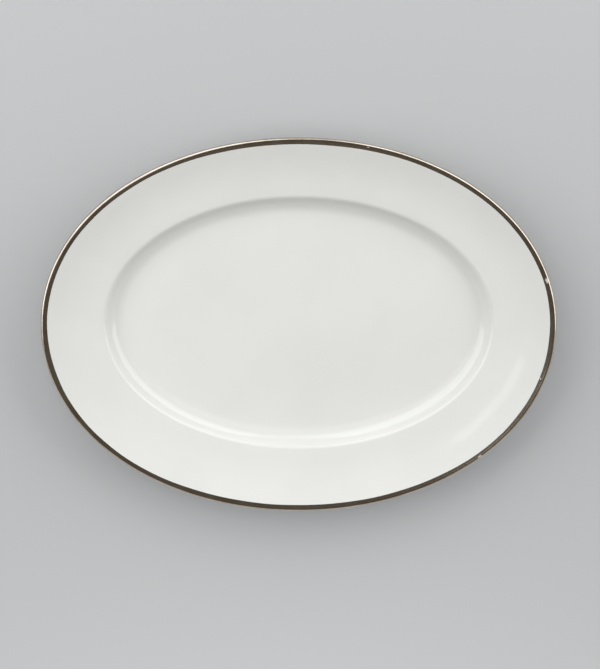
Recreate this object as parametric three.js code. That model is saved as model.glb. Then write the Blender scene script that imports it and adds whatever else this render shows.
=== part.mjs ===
// An oval china serving platter: a fired china body on a low foot ring, the
// glaze that covers it, and a bright metal band fired onto the lip.
// Millimetres. +X runs along the length, +Y across it and +Z up, and the
// origin is the middle of the plane that the foot stands on.

import * as THREE from 'three';

// Overall sizes of the finished platter, over the metal band.
const length = 356;
const width = 267;

// Rim, from the outermost edge in to the corner where the well begins.
const rimWidth = 43.5;
const rimRise = 11.5;
const rimHollow = 2.4;
const rimBendRadius = 115;
const lipThickness = 3.6;
const shoulderRadius = 4;

// Well, from that corner down to the flat floor.
const wellDepth = 9;
const wellWallAngle = THREE.MathUtils.degToRad(54);
const coveRadius = 13;

// Thickness of the china.
const wallThickness = 4.6;
const floorThickness = 5;

// Back and foot ring.
const backCoveRadius = 8;
const heelRadius = 3;
const footHeight = 4;
const footSetback = 2.2;
const footTaper = 0.8;
const footFaceWidth = 3;
const footRootRadius = 1;
const footEdgeRadius = 0.6;
const bareFootHeight = 1.2;

// Coatings.
const glazeThickness = 0.3;
const bandThickness = 0.2;
const bandWidth = 4.3;
const bandWrap = 1.2;

// The outline is an oval a little fuller at the diagonals than an ellipse,
// which would have a fullness of 2.
const ovalFullness = 2.03;

// How finely the round shapes are faceted.
const ovalSteps = 60;
const coveSteps = 4;
const rimBendSteps = 3;
const cornerSteps = 2;
const footCornerSteps = 1;
const lipSteps = 2;

const halfLength = length / 2;
const lengthOverWidth = (length - width) / 2;
const floorLevel = footHeight + floorThickness;
const shoulderLevel = floorLevel + wellDepth;
const lipLevel = shoulderLevel + rimRise;

// The section is drawn at the end of the long axis: x is the distance from
// the middle and y is the height.
const point = (x, y) => new THREE.Vector2(x, y);
const along = (angle, distance) => point(Math.cos(angle) * distance, Math.sin(angle) * distance);
const quarterTurn = Math.PI / 2;

// Lip: a round edge. The glaze is thinner than the finished edge by the band.
const lipRadius = lipThickness / 2 - bandThickness;
const lipInset = lipThickness / 2;
const lipCentre = point(halfLength - lipInset, lipLevel - lipInset);

// The angle of the line from a corner that just touches the top or the
// underside of the round lip.
function angleToLip(corner, side) {
  const reach = lipCentre.clone().sub(corner);
  return reach.angle() + side * Math.asin(lipRadius / reach.length());
}

// Face of the rim and wall of the well meet at the shoulder. The rim is a
// little hollow: half way out it bends, and is steeper from there to the lip.
const shoulder = point(halfLength - rimWidth, shoulderLevel);
const straightAngle = angleToLip(shoulder, 1);
const rimDip = lipRadius / 2 - rimHollow;
const rimMiddle = shoulder.clone().lerp(lipCentre, 0.5).add(along(straightAngle + quarterTurn, rimDip));
const innerAngle = rimMiddle.clone().sub(shoulder).angle();
const faceAngle = angleToLip(rimMiddle, 1);
const wellCorner = point(shoulder.x - wellDepth / Math.tan(wellWallAngle), floorLevel);

// The back follows the face a wall's thickness away, and thins towards the lip.
const mitre = wallThickness / Math.cos((wellWallAngle - innerAngle) / 2);
const backCorner = shoulder.clone().add(along((wellWallAngle + innerAngle) / 2 - quarterTurn, mitre));
const middleThickness = (wallThickness + lipThickness) / 2;
const backMiddle = rimMiddle.clone().add(along(straightAngle - quarterTurn, middleThickness));
const backAngle = angleToLip(backMiddle, -1);
const wallDrop = (backCorner.y - footHeight) / Math.sin(wellWallAngle);
const heel = backCorner.clone().sub(along(wellWallAngle, wallDrop));

// Foot ring.
const footOuterRoot = point(heel.x - footSetback, footHeight);
const footOuterEdge = point(footOuterRoot.x - footTaper, 0);
const footInnerEdge = point(footOuterEdge.x - footFaceWidth, 0);
const footInnerRoot = point(footInnerEdge.x - footTaper, footHeight);

// A corner rounded to a radius, between its neighbours.
function rounded(before, corner, after, radius, steps) {
  const back = before.clone().sub(corner).normalize();
  const on = after.clone().sub(corner).normalize();
  const halfAngle = Math.acos(back.dot(on)) / 2;
  const tangent = radius / Math.tan(halfAngle);
  const start = corner.clone().addScaledVector(back, tangent);
  const end = corner.clone().addScaledVector(on, tangent);
  return new THREE.QuadraticBezierCurve(start, corner, end).getPoints(steps);
}

// Where the bare edge of the foot begins, on its outer and inner sides.
const bareShare = bareFootHeight / footHeight;
const outerGlazeEnd = footOuterEdge.clone().lerp(footOuterRoot, bareShare);
const innerGlazeEnd = footInnerEdge.clone().lerp(footInnerRoot, bareShare);

// The band runs from a line on the face, round the lip, to a line behind it.
// The lip's arc has points at its top and at its outermost edge.
const faceTouchAngle = faceAngle + quarterTurn;
const backTouchAngle = backAngle - quarterTurn;
const faceTouch = lipCentre.clone().add(along(faceTouchAngle, lipRadius));
const bandFaceRun = (faceTouch.x - (halfLength - bandWidth)) / Math.cos(faceAngle);

function lipArc(radius, from, to) {
  const arc = new THREE.EllipseCurve(lipCentre.x, lipCentre.y, radius, radius, from, to, true);
  return arc.getPoints(lipSteps);
}

function lipSurface(radius) {
  const touch = lipCentre.clone().add(along(faceTouchAngle, radius));
  const backTouch = lipCentre.clone().add(along(backTouchAngle, radius));
  return [
    touch.clone().sub(along(faceAngle, bandFaceRun)),
    touch,
    ...lipArc(radius, quarterTurn, 0),
    ...lipArc(radius, 0, backTouchAngle).slice(1),
    backTouch.clone().sub(along(backAngle, bandWrap)),
  ];
}

const underBand = lipSurface(lipRadius);
const overBand = lipSurface(lipRadius + bandThickness);
const bandStart = underBand[0];
const bandEnd = underBand[underBand.length - 1];

// The finished surface in order, from the middle of the well floor, over the
// lip and round the foot, to the middle of the underside.
const faceLine = [
  point(0, floorLevel),
  ...rounded(point(0, floorLevel), wellCorner, shoulder, coveRadius, coveSteps),
  ...rounded(wellCorner, shoulder, rimMiddle, shoulderRadius, cornerSteps),
  ...rounded(shoulder, rimMiddle, bandStart, rimBendRadius, rimBendSteps),
];
const backLine = [
  ...rounded(bandEnd, backMiddle, backCorner, rimBendRadius, rimBendSteps),
  ...rounded(backMiddle, backCorner, heel, backCoveRadius, cornerSteps),
  ...rounded(backCorner, heel, footOuterRoot, heelRadius, cornerSteps).slice(0, -1),
  ...rounded(heel, footOuterRoot, footOuterEdge, footRootRadius, footCornerSteps),
  outerGlazeEnd,
];
const bareLine = [
  ...rounded(footOuterRoot, footOuterEdge, footInnerEdge, footEdgeRadius, footCornerSteps),
  ...rounded(footOuterEdge, footInnerEdge, footInnerRoot, footEdgeRadius, footCornerSteps),
];
const recessLine = [
  innerGlazeEnd,
  ...rounded(footInnerEdge, footInnerRoot, point(0, footHeight), footRootRadius, footCornerSteps),
  point(0, footHeight),
];

// A line moved sideways by a distance, to its left as it runs. Ends on the
// axis stay on it.
function moved(line, distance) {
  return line.map((here, i) => {
    const last = line[Math.max(i - 1, 0)];
    const next = line[Math.min(i + 1, line.length - 1)];
    const into = i > 0 ? here.clone().sub(last).normalize() : next.clone().sub(here).normalize();
    const out = i < line.length - 1 ? next.clone().sub(here).normalize() : into;
    const bisector = into.clone().add(out).normalize();
    const stretch = distance / bisector.dot(into);
    return point(here.x - bisector.y * stretch, here.y + bisector.x * stretch);
  });
}

const outerGlazed = [...faceLine, ...underBand, ...backLine];
const outerUnderGlaze = moved(outerGlazed, -glazeThickness);
const recessUnderGlaze = moved(recessLine, -glazeThickness);

const bodyOutline = [...outerUnderGlaze, outerGlazeEnd, ...bareLine, innerGlazeEnd, ...recessUnderGlaze];
const outerGlazeOutline = [...outerGlazed, ...outerUnderGlaze.slice().reverse()];
const recessGlazeOutline = [...recessUnderGlaze.slice().reverse(), ...recessLine];
const bandOutline = [...overBand, ...underBand.slice().reverse(), overBand[0]];

// Splits every four-sided patch along its shorter diagonal, so that coats which
// share a surface share its triangles too. A swept patch a, b, c, d is stored
// as the triangles a, b, d and c, d, b.
function splitAlike(geometry) {
  const { position } = geometry.attributes;
  const index = geometry.index.array;
  const corner = (i) => new THREE.Vector3().fromBufferAttribute(position, i);
  for (let i = 0; i < index.length; i += 6) {
    const [a, b, d, c] = index.slice(i, i + 4);
    if (corner(a).distanceTo(corner(c)) < corner(b).distanceTo(corner(d))) {
      index.set([a, b, c, a, c, d], i);
    }
  }
}

// A section swept round the oval, clockwise from above so that its faces point
// outwards. Every ring of the platter lies the same distance inside the outer
// edge at the sides as at the ends.
function swept(outline) {
  const geometry = new THREE.LatheGeometry(outline, ovalSteps);
  const position = geometry.attributes.position;
  const roundness = 2 / ovalFullness;
  const bulge = (share) => Math.sign(share) * Math.abs(share) ** roundness;
  for (let i = 0; i < position.count; i++) {
    const ring = outline[i % outline.length];
    const turn = -(Math.floor(i / outline.length) % ovalSteps) / ovalSteps * 2 * Math.PI;
    const acrossRadius = Math.max(ring.x - lengthOverWidth, 0);
    position.setXYZ(i, ring.x * bulge(Math.cos(turn)), acrossRadius * bulge(Math.sin(turn)), ring.y);
  }
  splitAlike(geometry);
  geometry.computeVertexNormals();
  return geometry;
}

function coat(name, outline, colour, roughness, metalness) {
  const finish = new THREE.MeshStandardMaterial({ color: colour, roughness, metalness });
  const mesh = new THREE.Mesh(swept(outline), finish);
  mesh.name = name;
  return mesh;
}

const platter = new THREE.Group();
platter.add(coat('china_body', bodyOutline, 0xece9e1, 0.6, 0));
platter.add(coat('face_and_back_glaze', outerGlazeOutline, 0xf1f1ec, 0.1, 0));
platter.add(coat('foot_recess_glaze', recessGlazeOutline, 0xf1f1ec, 0.12, 0));
platter.add(coat('lip_metal_band', bandOutline, 0xb9b4aa, 0.15, 1));

export default platter;
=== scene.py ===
import math
import bpy
import numpy as np
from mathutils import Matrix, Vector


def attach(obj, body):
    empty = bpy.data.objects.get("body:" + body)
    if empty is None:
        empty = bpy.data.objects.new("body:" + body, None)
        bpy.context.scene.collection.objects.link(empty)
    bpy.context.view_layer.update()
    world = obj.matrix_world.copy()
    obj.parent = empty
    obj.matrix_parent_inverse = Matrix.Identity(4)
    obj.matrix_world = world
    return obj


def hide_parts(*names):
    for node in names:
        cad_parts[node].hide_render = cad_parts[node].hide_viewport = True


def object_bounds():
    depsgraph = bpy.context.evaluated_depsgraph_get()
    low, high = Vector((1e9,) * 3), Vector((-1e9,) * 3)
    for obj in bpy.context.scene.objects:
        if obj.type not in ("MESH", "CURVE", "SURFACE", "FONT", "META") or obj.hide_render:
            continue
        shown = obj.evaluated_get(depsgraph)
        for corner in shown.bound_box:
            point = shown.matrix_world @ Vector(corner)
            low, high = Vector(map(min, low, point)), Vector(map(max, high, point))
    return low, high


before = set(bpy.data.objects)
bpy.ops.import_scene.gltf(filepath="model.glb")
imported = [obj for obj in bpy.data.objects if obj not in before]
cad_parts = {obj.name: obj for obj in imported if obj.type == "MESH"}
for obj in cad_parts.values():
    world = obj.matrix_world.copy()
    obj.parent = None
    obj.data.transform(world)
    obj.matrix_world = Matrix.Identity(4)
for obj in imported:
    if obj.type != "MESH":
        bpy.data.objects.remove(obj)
cad_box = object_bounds()
scene = bpy.context.scene

# ---------------------------------------------------------------- camera
# The platter lies on its foot, and is looked at nearly square on through a
# long lens, from a little past its far side.
LOOK_TILT = math.radians(15.4)
LOOK_DISTANCE = 1.7
LOOK_LENS = 132.3
LOOK_AT = (0.0009, -0.0052, 0.026)

bpy.ops.object.camera_add(
    location=(
        LOOK_AT[0],
        LOOK_AT[1] + LOOK_DISTANCE * math.sin(LOOK_TILT),
        LOOK_AT[2] + LOOK_DISTANCE * math.cos(LOOK_TILT),
    ),
    rotation=(-LOOK_TILT, 0, 0),
)
scene.camera = bpy.context.object
scene.camera.data.lens = LOOK_LENS

# ---------------------------------------------------------------- china_body
# The body is one piece of white china, pressed in a mould and fired hard: a
# flat well, a swept wall and a broad rim on a foot ring. Glaze hides all of it
# but the lower edge of the foot, which is wiped bare before the glaze firing.
half_length = cad_box[1].x
half_width = cad_box[1].y
rim_height = cad_box[1].z
LENGTH_OVER_WIDTH = half_length - half_width

# The oval is a little fuller than an ellipse, whose handles would be 0.552.
OVAL_HANDLE = 0.562
OVAL_STEPS = 48

FLOOR_LEVEL = 0.009
WELL_DEPTH = 0.009
WALL_ANGLE = math.radians(54)
COVE_RADIUS = 0.013
SHOULDER_RADIUS = 0.004
RIM_WIDTH = 0.0435
RIM_HOLLOW = 0.0024
RIM_BEND_RADIUS = 0.115
LIP_THICKNESS = 0.0036
WALL_THICKNESS = 0.0046
BACK_COVE_RADIUS = 0.008
HEEL_RADIUS = 0.003
FOOT_HEIGHT = 0.004
FOOT_SETBACK = 0.0022
FOOT_TAPER = 0.0008
FOOT_FACE = 0.003
FOOT_ROOT_RADIUS = 0.001
FOOT_EDGE_RADIUS = 0.0006
BARE_HEIGHT = 0.0012
GLAZE_THICKNESS = 0.0003
BAND_THICKNESS = 0.00003
BAND_WIDTH = 0.0043
BAND_WRAP = 0.0012

# The flat middles of the well and of the foot recess begin this far inside
# their corners.
FLOOR_MARGIN = 0.009
RECESS_MARGIN = 0.006
CREASE_ANGLE = math.radians(60)
SAME_PLACE = 0.00001


def along(angle, distance):
    """A step through the section at an angle to the floor."""
    return np.array([math.cos(angle), math.sin(angle)]) * distance


# The section is walked in the plane of the long axis, as (distance out, height).
lip_radius = LIP_THICKNESS / 2 - BAND_THICKNESS
lip = np.array([half_length, rim_height]) - LIP_THICKNESS / 2


def angle_to_lip(corner, side):
    """The slope from a corner to where it just touches the lip's round."""
    reach = lip - corner
    return math.atan2(reach[1], reach[0]) + side * math.asin(lip_radius / np.linalg.norm(reach))


shoulder = np.array([half_length - RIM_WIDTH, FLOOR_LEVEL + WELL_DEPTH])
well_corner = np.array([shoulder[0] - WELL_DEPTH / math.tan(WALL_ANGLE), FLOOR_LEVEL])
straight_angle = angle_to_lip(shoulder, 1)
rim_middle = (shoulder + lip) / 2 + along(straight_angle + math.pi / 2, lip_radius / 2 - RIM_HOLLOW)
inner_angle = math.atan2(*(rim_middle - shoulder)[::-1])
face_angle = angle_to_lip(rim_middle, 1)
mitre = WALL_THICKNESS / math.cos((WALL_ANGLE - inner_angle) / 2)
back_corner = shoulder + along((WALL_ANGLE + inner_angle) / 2 - math.pi / 2, mitre)
back_middle = rim_middle + along(straight_angle - math.pi / 2, (WALL_THICKNESS + LIP_THICKNESS) / 2)
back_angle = angle_to_lip(back_middle, -1)
heel = back_corner - along(WALL_ANGLE, (back_corner[1] - FOOT_HEIGHT) / math.sin(WALL_ANGLE))
foot_outer_root = heel - [FOOT_SETBACK, 0]
foot_outer_edge = np.array([foot_outer_root[0] - FOOT_TAPER, 0])
foot_inner_edge = foot_outer_edge - [FOOT_FACE, 0]
foot_inner_root = np.array([foot_inner_edge[0] - FOOT_TAPER, FOOT_HEIGHT])
face_touch = lip + along(face_angle + math.pi / 2, lip_radius)
back_touch = lip + along(back_angle - math.pi / 2, lip_radius)
band_run = (face_touch[0] - half_length + BAND_WIDTH) / math.cos(face_angle)
band_start = face_touch - along(face_angle, band_run)
band_end = back_touch - along(back_angle, BAND_WRAP)
bare_share = BARE_HEIGHT / FOOT_HEIGHT
outer_glaze_end = foot_outer_edge + (foot_outer_root - foot_outer_edge) * bare_share
inner_glaze_end = foot_inner_edge + (foot_inner_root - foot_inner_edge) * bare_share


def rounded(corners):
    """Turns a list of (corner, radius, steps) into places, with an arc at each radius."""
    places = [corners[0][0]]
    for before, (corner, radius, steps), after in zip(corners, corners[1:], corners[2:]):
        into = math.atan2(*(corner - before[0])[::-1])
        out = math.atan2(*(after[0] - corner)[::-1])
        turn = math.remainder(out - into, 2 * math.pi)
        side = into + math.copysign(math.pi / 2, turn)
        centre = corner - along(into, radius * math.tan(abs(turn) / 2)) + along(side, radius)
        for step in range(steps + 1 if radius else 1):
            spoke = side + math.pi + (turn * step / steps if radius else 0)
            places.append(centre + along(spoke, radius))
    places.append(corners[-1][0])
    return places


def moved_in(places, depth):
    """The same stretch of section, sunk square to itself into the china."""
    steps = np.diff(places, axis=0)
    normals = np.stack([steps[:, 1], -steps[:, 0]], axis=1)
    normals /= np.linalg.norm(normals, axis=1)[:, None]
    before = np.vstack([normals[:1], normals])
    after = np.vstack([normals, normals[-1:]])
    lean = 1 + (before * after).sum(axis=1)
    return list(np.array(places) + depth * (before + after) / lean[:, None])


def place_of(corner, places):
    """Where along a section a named corner lies."""
    return int(np.argmin(np.linalg.norm(np.array(places) - corner, axis=1)))


def swept_round(name, section, open_middle=False):
    """Draws an oval ring out through every place of a section."""
    bpy.ops.object.select_all(action="DESELECT")
    bpy.ops.curve.primitive_bezier_circle_add(radius=1)
    piece = bpy.context.object
    piece.name = name
    piece.data.resolution_u = OVAL_STEPS
    for knot in piece.data.splines[0].bezier_points:
        knot.handle_left_type = knot.handle_right_type = "FREE"
        pull = (knot.handle_right - knot.co).normalized() * OVAL_HANDLE
        knot.handle_right = knot.co + pull
        knot.handle_left = knot.co - pull
    bpy.ops.object.convert(target="MESH")
    bpy.ops.object.mode_set(mode="EDIT")
    bpy.ops.mesh.select_mode(type="VERT")
    bpy.ops.mesh.select_all(action="SELECT")
    first = section[0]
    bpy.ops.transform.resize(value=(first[0], first[0] - LENGTH_OVER_WIDTH, 1))
    bpy.ops.transform.translate(value=(0, 0, first[1]))
    if not open_middle:
        bpy.ops.mesh.fill_grid(span=OVAL_STEPS)
        bpy.ops.mesh.select_all(action="DESELECT")
        bpy.ops.mesh.select_non_manifold(
            extend=False,
            use_wire=False,
            use_multi_face=False,
            use_non_contiguous=False,
            use_verts=False,
        )
    for before, place in zip(section, section[1:]):
        across = (place[0] - LENGTH_OVER_WIDTH) / (before[0] - LENGTH_OVER_WIDTH)
        upward = {"value": (0, 0, place[1] - before[1])}
        bpy.ops.mesh.extrude_edges_move(TRANSFORM_OT_translate=upward)
        bpy.ops.transform.resize(value=(place[0] / before[0], across, 1))
    if not open_middle:
        bpy.ops.mesh.fill_grid(span=OVAL_STEPS)
    bpy.ops.mesh.select_all(action="SELECT")
    bpy.ops.mesh.remove_doubles(threshold=SAME_PLACE)
    bpy.ops.mesh.normals_make_consistent(inside=False)
    bpy.ops.object.mode_set(mode="OBJECT")
    bpy.ops.object.shade_smooth_by_angle(angle=CREASE_ANGLE)
    return piece


LIP_STEPS = 20
lip_start = face_angle + math.pi / 2
lip_turn = (back_angle - face_angle - math.pi) / LIP_STEPS
lip_round = [lip + along(lip_start + step * lip_turn, lip_radius) for step in range(LIP_STEPS + 1)]
face = rounded([
    (well_corner - [FLOOR_MARGIN, 0], 0, 0),
    (well_corner, COVE_RADIUS, 16),
    (shoulder, SHOULDER_RADIUS, 12),
    (rim_middle, RIM_BEND_RADIUS, 8),
    (band_start, 0, 0),
    (face_touch, 0, 0),
])
back = rounded([
    (back_touch, 0, 0),
    (band_end, 0, 0),
    (back_middle, RIM_BEND_RADIUS, 6),
    (back_corner, BACK_COVE_RADIUS, 8),
    (heel, HEEL_RADIUS, 6),
    (foot_outer_root, FOOT_ROOT_RADIUS, 4),
    (outer_glaze_end, 0, 0),
    (foot_outer_edge, FOOT_EDGE_RADIUS, 3),
    (foot_inner_edge, FOOT_EDGE_RADIUS, 3),
    (inner_glaze_end, 0, 0),
    (foot_inner_root, FOOT_ROOT_RADIUS, 4),
    (foot_inner_root - [RECESS_MARGIN, 0], 0, 0),
])
outline = face[:-1] + lip_round + back[1:]
glaze_stop = place_of(outer_glaze_end, outline)
recess_start = place_of(inner_glaze_end, outline)
under_glaze = moved_in(outline[: glaze_stop + 1], GLAZE_THICKNESS)
under_recess_glaze = moved_in(outline[recess_start:], GLAZE_THICKNESS)
bare_foot = outline[glaze_stop : recess_start + 1]

body = swept_round("china", under_glaze + bare_foot + under_recess_glaze)


class Wire:
    """A socket of a finish that can be reckoned with; each sum adds its Math node."""

    def __init__(self, finish, socket):
        self.finish = finish
        self.socket = socket

    def sum(self, operation, first, second):
        return self.finish.node("ShaderNodeMath", {"operation": operation}, {0: first, 1: second})

    def __add__(self, other):
        return self.sum("ADD", self, other)

    def __radd__(self, other):
        return self.sum("ADD", other, self)

    def __sub__(self, other):
        return self.sum("SUBTRACT", self, other)

    def __rsub__(self, other):
        return self.sum("SUBTRACT", other, self)

    def __mul__(self, other):
        return self.sum("MULTIPLY", self, other)

    def __rmul__(self, other):
        return self.sum("MULTIPLY", other, self)

    def __gt__(self, other):
        return self.sum("GREATER_THAN", self, other)

    def __lt__(self, other):
        return self.sum("LESS_THAN", self, other)


class Finish:
    """A node tree that is built by naming nodes, their settings and their inputs."""

    def __init__(self, owner):
        owner.use_nodes = True
        self.owner = owner
        self.nodes = owner.node_tree.nodes
        self.links = owner.node_tree.links

    def feed(self, socket, value):
        if isinstance(value, Wire):
            self.links.new(value.socket, socket)
        else:
            socket.default_value = value

    def node(self, kind, settings=None, inputs=None, output=0):
        made = self.nodes.new(kind)
        for key, value in (settings or {}).items():
            setattr(made, key, value)
        for key, value in (inputs or {}).items():
            self.feed(made.inputs[key], value)
        return Wire(self, made.outputs[output])

    def place(self):
        return self.node("ShaderNodeTexCoord", output="Object")

    def noise(self, vector, scale, detail, roughness):
        values = {"Vector": vector, "Scale": scale, "Detail": detail, "Roughness": roughness}
        return self.node("ShaderNodeTexNoise", None, values)

    def eased(self, value, none, full):
        """0 where the value is none, 1 where it is full, and a soft turn between."""
        settings = {"interpolation_type": "SMOOTHSTEP"}
        values = {"Value": value, "From Min": none, "From Max": full}
        return self.node("ShaderNodeMapRange", settings, values)

    def mixed(self, share, first, second):
        """Two colours mixed; they are sockets 6 and 7 of the node, and 2 comes out."""
        settings = {"data_type": "RGBA"}
        return self.node("ShaderNodeMix", settings, {0: share, 6: first, 7: second}, output=2)

    def split(self, vector, axis):
        return self.node("ShaderNodeSeparateXYZ", None, {0: vector}, output=axis)

    def stretched(self, vector, scale):
        return self.node("ShaderNodeMapping", None, {"Vector": vector, "Scale": scale})

    def bump(self, height, distance, strength=1.0, normal=None):
        values = {"Height": height, "Distance": distance, "Strength": strength}
        if normal:
            values["Normal"] = normal
        return self.node("ShaderNodeBump", None, values)

    def shader(self, inputs):
        for key, value in inputs.items():
            self.feed(self.nodes["Principled BSDF"].inputs[key], value)


def coat_with(piece, material):
    piece.data.materials.clear()
    piece.data.materials.append(material)


# Bare fired china: chalky white, finely grained and a little grimed where it rubs.
BARE_CHINA = (0.70, 0.685, 0.64, 1)
BARE_GRIME = (0.50, 0.475, 0.42, 1)
GRAIN_SCALE = 2600
GRAIN_DEPTH = 0.00004
GRIME_SCALE = 55
GRIME_TOP = 0.0005
GRIME_STRENGTH = 0.5
bare = Finish(bpy.data.materials.new("bare_china"))
bare_place = bare.place()
bare_grain = bare.noise(bare_place, GRAIN_SCALE, 4, 0.6)
bare_patches = bare.noise(bare_place, GRIME_SCALE, 3, 0.6)
bare_height = bare.split(bare_place, "Z")
rubbed = bare.eased(bare_height, GRIME_TOP, 0.0) * bare.eased(bare_patches, 0.42, 0.62)
bare.shader({
    "Base Color": bare.mixed(rubbed * GRIME_STRENGTH, BARE_CHINA, BARE_GRIME),
    "Roughness": 0.62 + bare_grain * 0.2,
    "Normal": bare.bump(bare_grain, GRAIN_DEPTH),
    "IOR": 1.5,
})
coat_with(body, bare.owner)
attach(body, "root")
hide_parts("china_body")

# ---------------------------------------------------------------- glaze
# One clear glaze coat runs over the face, round the lip and down the back to
# the wiped line on the foot. It is about a third of a millimetre thick, glossy,
# and a shade deeper where it has pooled round the edge of the well.
face_glaze = swept_round("glaze", outline[: glaze_stop + 1] + under_glaze[::-1])

GLAZE_WHITE = (0.80, 0.80, 0.77, 1)
GLAZE_MOTTLE = (0.775, 0.778, 0.745, 1)
GLAZE_POOLED = (0.755, 0.765, 0.735, 1)
CLOUD_SCALE = 14
RIPPLE_SCALE = 38
RIPPLE_DEPTH = 0.00035
PEEL_SCALE = 420
PEEL_DEPTH = 0.000012

# The pool reaches up the wall from just over the floor, and thins out again.
POOL_BOTTOM = 0.0091
POOL_FULL_FROM = 0.0105
POOL_FULL_TO = 0.0125
POOL_TOP = 0.0165
POOL_STRENGTH = 0.7

# A few brown specks lie in the glaze. It is parted into cells all over, and
# about one cell in seventeen holds a speck.
SPECK_BROWN = (0.33, 0.28, 0.21, 1)
SPECK_CELLS = 55.0
SPECK_RARITY = 0.94
SPECK_RIM = 0.016
SPECK_HEART = 0.010
SPECK_STRENGTH = 0.55

# Knives and spoons leave hair scratches on the floor of the well.
SCRATCH_TOP = 0.0096
SCRATCH_ACROSS = (2100, 36, 1)
SCRATCH_ALONG = (45, 1900, 1)
SCRATCH_DULLING = 0.05

glaze = Finish(bpy.data.materials.new("white_glaze"))
glaze_place = glaze.place()
glaze_height = glaze.split(glaze_place, "Z")
glaze_clouds = glaze.noise(glaze_place, CLOUD_SCALE, 3, 0.55)
glaze_ripple = glaze.noise(glaze_place, RIPPLE_SCALE, 2, 0.45)
glaze_peel = glaze.noise(glaze_place, PEEL_SCALE, 2, 0.5)
over_floor = glaze.eased(glaze_height, POOL_BOTTOM, POOL_FULL_FROM)
under_shoulder = glaze.eased(glaze_height, POOL_TOP, POOL_FULL_TO)
pooled = over_floor * under_shoulder
speck_settings = {"feature": "F1", "voronoi_dimensions": "3D"}
speck_values = {"Vector": glaze_place, "Scale": SPECK_CELLS, "Randomness": 1.0}
speck_reach = glaze.node("ShaderNodeTexVoronoi", speck_settings, speck_values, output="Distance")
speck_draw = glaze.node("ShaderNodeTexVoronoi", speck_settings, speck_values, output="Color")
speck_chosen = glaze.node("ShaderNodeSeparateColor", None, {0: speck_draw}) > SPECK_RARITY
specks = glaze.eased(speck_reach, SPECK_RIM, SPECK_HEART) * speck_chosen
scratch_across = glaze.noise(glaze.stretched(glaze_place, SCRATCH_ACROSS), 1, 1, 0.4)
scratch_along = glaze.noise(glaze.stretched(glaze_place, SCRATCH_ALONG), 1, 1, 0.4)
scratches = glaze.eased(scratch_across, 0.70, 0.78) + glaze.eased(scratch_along, 0.71, 0.79)
in_well = glaze.eased(glaze_height, SCRATCH_TOP, FLOOR_LEVEL)
glaze_tone = glaze.mixed(glaze.eased(glaze_clouds, 0.35, 0.7), GLAZE_WHITE, GLAZE_MOTTLE)
glaze_tone = glaze.mixed(pooled * POOL_STRENGTH, glaze_tone, GLAZE_POOLED)
glaze_tone = glaze.mixed(specks * SPECK_STRENGTH, glaze_tone, SPECK_BROWN)
glaze_wave = glaze.bump(glaze_ripple, RIPPLE_DEPTH, 0.5)
glaze.shader({
    "Base Color": glaze_tone,
    "Roughness": 0.07 + glaze_clouds * 0.04 + scratches * in_well * SCRATCH_DULLING,
    "Normal": glaze.bump(glaze_peel, PEEL_DEPTH, 0.6, glaze_wave),
    "IOR": 1.58,
})
coat_with(face_glaze, glaze.owner)
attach(face_glaze, "root")
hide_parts("face_and_back_glaze")

# ---------------------------------------------------------------- recess_glaze
# The glaze inside the foot ring is a coat of its own, because the wiped foot
# parts it from the rest. It is dipped with the rest and fired to the same gloss.
recess_glaze = swept_round("recess_glaze", outline[recess_start:][::-1] + under_recess_glaze)
coat_with(recess_glaze, glaze.owner)
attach(recess_glaze, "root")
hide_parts("foot_recess_glaze")

# ---------------------------------------------------------------- metal_band
# A band of dull platinum is brushed on over the glaze round the lip, and turns
# a little way under it. It is a film, its inner edge wanders with the painter's
# hand, and it has rubbed through to the pale glaze in a few places.
band_face = outline[place_of(band_start, outline) : place_of(band_end, outline) + 1]
band_face.insert(1, (band_face[0] * 2 + band_face[1]) / 3)
band_face.insert(2, (band_face[0] + band_face[2] * 2) / 3)
band_outer = moved_in(band_face, -BAND_THICKNESS)
band = swept_round("band", band_outer + band_face[::-1] + band_outer[:1], open_middle=True)

# The inner edge is moved along the face by a few slow waves, each given as its
# count round the rim, its start and its size.
BAND_WANDER = ((4, 0.0, 0.00026), (7, 1.1, 0.00010), (13, 0.4, 0.00007), (29, 2.0, 0.00004))
NEAR_EDGE = 1.01
edge_x = band_face[0][0]
edge_y = edge_x - LENGTH_OVER_WIDTH
edge_levels = [place[1] for place in (band_outer[0], band_face[0])]
for vertex in band.data.vertices:
    spot = vertex.co
    off_level = min(abs(spot.z - level) for level in edge_levels) > SAME_PLACE / 2
    if off_level or math.hypot(spot.x / edge_x, spot.y / edge_y) > NEAR_EDGE:
        continue
    turn = math.atan2(spot.y / edge_y, spot.x / edge_x)
    wander = sum(size * math.cos(count * turn + start) for count, start, size in BAND_WANDER)
    spot.x -= wander * math.cos(face_angle) * spot.x / edge_x
    spot.y -= wander * math.cos(face_angle) * spot.y / edge_y
    spot.z -= wander * math.sin(face_angle)

# Each point of the band keeps its place round the rim and its distance in from
# the lip, so that the brush marks follow the rim.
stroke = band.data.attributes.new("stroke", "FLOAT_VECTOR", "POINT")
for vertex, mark in zip(band.data.vertices, stroke.data):
    turn = math.atan2(vertex.co.y / half_width, vertex.co.x / half_length)
    level = half_length - math.hypot(vertex.co.x, vertex.co.y * half_length / half_width)
    mark.vector = (math.cos(turn), math.sin(turn), level - (rim_height - vertex.co.z))

BAND_METAL = (0.58, 0.545, 0.49, 1)
BAND_TARNISH = (0.40, 0.35, 0.29, 1)
BRUSH_STRETCH = (9, 9, 5200)
BRUSH_DEPTH = 0.000010
TARNISH_SCALE = 60
TARNISH_STRENGTH = 0.6

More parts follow.
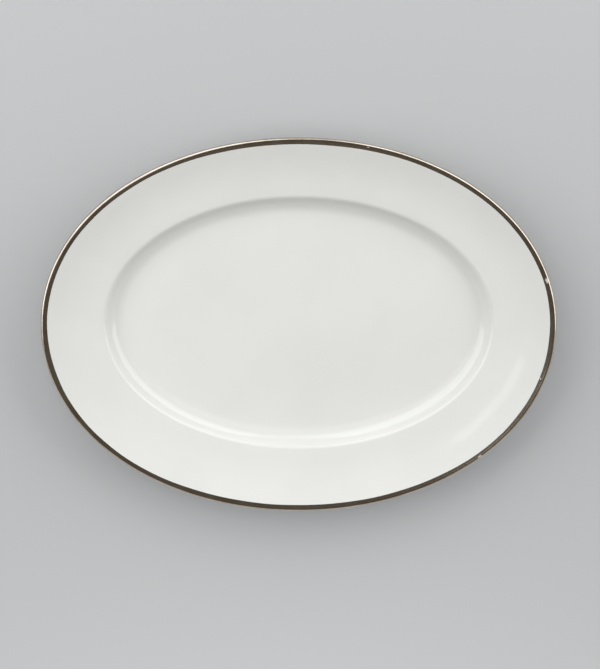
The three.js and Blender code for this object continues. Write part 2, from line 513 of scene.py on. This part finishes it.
# Nicks: place round the rim in degrees, distance in from the edge, and length.
NICK_GREY = (0.62, 0.59, 0.56, 1)
NICKS = (
    (14.9, 0.0017, 0.0050),
    (-44.3, 0.0010, 0.0036),
    (-16.1, 0.0028, 0.0016),
    (74.5, 0.0022, 0.0018),
)
NICK_WIDTH_SHARE = 0.36
NICK_RAGGED_SCALE = 1700
NICK_RAGGED_SHARE = 0.6
NICK_OUTER_SHARE = 0.85
NICK_INNER_SHARE = 0.55

metal = Finish(bpy.data.materials.new("band_metal"))
metal_stroke = metal.node("ShaderNodeAttribute", {"attribute_name": "stroke"}, output="Vector")
metal_place = metal.place()
brushed = metal.noise(metal.stretched(metal_stroke, BRUSH_STRETCH), 1, 3, 0.6)
patches = metal.noise(metal_place, TARNISH_SCALE, 3, 0.6)
raggedness = metal.noise(metal_place, NICK_RAGGED_SCALE, 3, 0.6)
round_scale = (half_length + half_width) / 2
nick_scale = (round_scale, round_scale, 1 / NICK_WIDTH_SHARE)
metal_rim = metal.stretched(metal_stroke, nick_scale)
worn = 0
for degrees, inset, length in NICKS:
    turn = math.radians(degrees)
    spot = (round_scale * math.cos(turn), round_scale * math.sin(turn), inset / NICK_WIDTH_SHARE)
    ends = {0: metal_rim, 1: spot}
    reach = metal.node("ShaderNodeVectorMath", {"operation": "DISTANCE"}, ends, output="Value")
    ragged_reach = reach + raggedness * length * NICK_RAGGED_SHARE
    worn = worn + metal.eased(ragged_reach, length * NICK_OUTER_SHARE, length * NICK_INNER_SHARE)
tarnished = metal.eased(patches, 0.4, 0.7) * TARNISH_STRENGTH
metal_tone = metal.mixed(tarnished, BAND_METAL, BAND_TARNISH)
metal.shader({
    "Base Color": metal.mixed(worn, metal_tone, NICK_GREY),
    "Metallic": 1 - worn,
    "Roughness": 0.09 + brushed * 0.06 + patches * 0.05 + worn * 0.25,
    "Normal": metal.bump(brushed, BRUSH_DEPTH, 0.7),
})
coat_with(band, metal.owner)
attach(band, "root")
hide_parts("lip_metal_band")

# ---------------------------------------------------------------- floor
# A plain pale board, rolled with matt paint, on which the platter lies. It is
# wide enough to run out of sight.
FLOOR_SIZE = 30.0
FLOOR_GREY = (0.52, 0.525, 0.53, 1)
ROLLER_GRAIN = 900
bpy.ops.mesh.primitive_plane_add(size=FLOOR_SIZE)
floor = bpy.context.object
floor.name = "floor"
board = Finish(bpy.data.materials.new("painted_board"))
board_grain = board.noise(board.place(), ROLLER_GRAIN, 3, 0.6)
board.shader({
    "Base Color": FLOOR_GREY,
    "Roughness": 0.7 + board_grain * 0.1,
    "Specular IOR Level": 0.2,
})
coat_with(floor, board.owner)

# ---------------------------------------------------------------- lights
# Two large softboxes stand past the far side, left and right of the middle,
# and a broad dim panel over the camera softens their shadows. Turns and rises
# are in degrees, sizes in metres and powers in watts.
def panel(name, place, lean, turn, width, height, watts, glossy=True):
    """Hangs one flat lamp that the camera doesn't see."""
    bpy.ops.object.light_add(type="AREA", location=place, rotation=(0, lean, turn))
    lamp = bpy.context.object
    lamp.name = name
    lamp.data.shape = "RECTANGLE"
    lamp.data.size = height
    lamp.data.size_y = width
    lamp.data.energy = watts
    lamp.visible_camera = False
    lamp.visible_glossy = glossy


def softbox(name, turn, rise, distance, width, height, watts, glossy=True):
    """Hangs a panel round the platter so that it faces its middle."""
    turn = math.radians(turn)
    rise = math.radians(rise)
    place = (
        distance * math.cos(rise) * math.cos(turn),
        distance * math.cos(rise) * math.sin(turn),
        distance * math.sin(rise),
    )
    panel(name, place, math.pi / 2 - rise, turn, width, height, watts, glossy)


softbox("right_softbox", turn=33, rise=34, distance=1.15, width=2.1, height=0.76, watts=8.9)
softbox("left_softbox", turn=144, rise=40, distance=1.15, width=2.1, height=0.95, watts=11.1)
softbox("top_fill", turn=90, rise=80, distance=2.0, width=1.8, height=1.8, watts=4.2, glossy=False)

# A short strip hangs above the left softbox, and shows in the turn of the rim
# on the side away from it.
STRIP_PLACE = (-0.416, -0.006, 1.392)
STRIP_LEAN = math.radians(50)
STRIP_TURN = math.radians(144)
panel("strip", STRIP_PLACE, STRIP_LEAN, STRIP_TURN, width=0.50, height=0.16, watts=0.28)

# A soft wash falls on the floor before the platter.
WASH_PLACE = (0, -0.9, 1.5)
WASH_SPREAD = math.radians(60)
WASH_LAMP_RADIUS = 0.2
WASH_WATTS = 80
bpy.ops.object.light_add(type="SPOT", location=WASH_PLACE)
wash = bpy.context.object
wash.name = "floor_wash"
wash.data.spot_size = WASH_SPREAD
wash.data.spot_blend = 1.0
wash.data.shadow_soft_size = WASH_LAMP_RADIUS
wash.data.energy = WASH_WATTS
wash.visible_camera = False
wash.visible_glossy = False

# The room is pale and even. In the gloss of the platter it is dark, but for a
# warm glow low down all round.
ROOM_PALE = (0.62, 0.63, 0.64, 1)
ROOM_DARK = (0.12, 0.102, 0.080, 1)
ROOM_LOW = (0.86, 0.76, 0.66, 1)
ROOM_STRENGTH = 0.48
GLOSS_STRENGTH = 1.0
GLOW_FULL = 0.40
GLOW_TOP = 0.56
room = Finish(bpy.data.worlds.new("studio"))
scene.world = room.owner
room_height = room.split(room.node("ShaderNodeTexCoord", output="Generated"), "Z")
room_seen = room.node("ShaderNodeLightPath", output="Is Glossy Ray")
room_tone = room.mixed(room.eased(room_height, GLOW_FULL, GLOW_TOP), ROOM_LOW, ROOM_DARK)
room_strength = ROOM_STRENGTH + room_seen * (GLOSS_STRENGTH - ROOM_STRENGTH)
background = room.nodes["Background"]
room.feed(background.inputs["Color"], room.mixed(room_seen, ROOM_PALE, room_tone))
room.feed(background.inputs["Strength"], room_strength)

scene.view_settings.view_transform = "Standard"
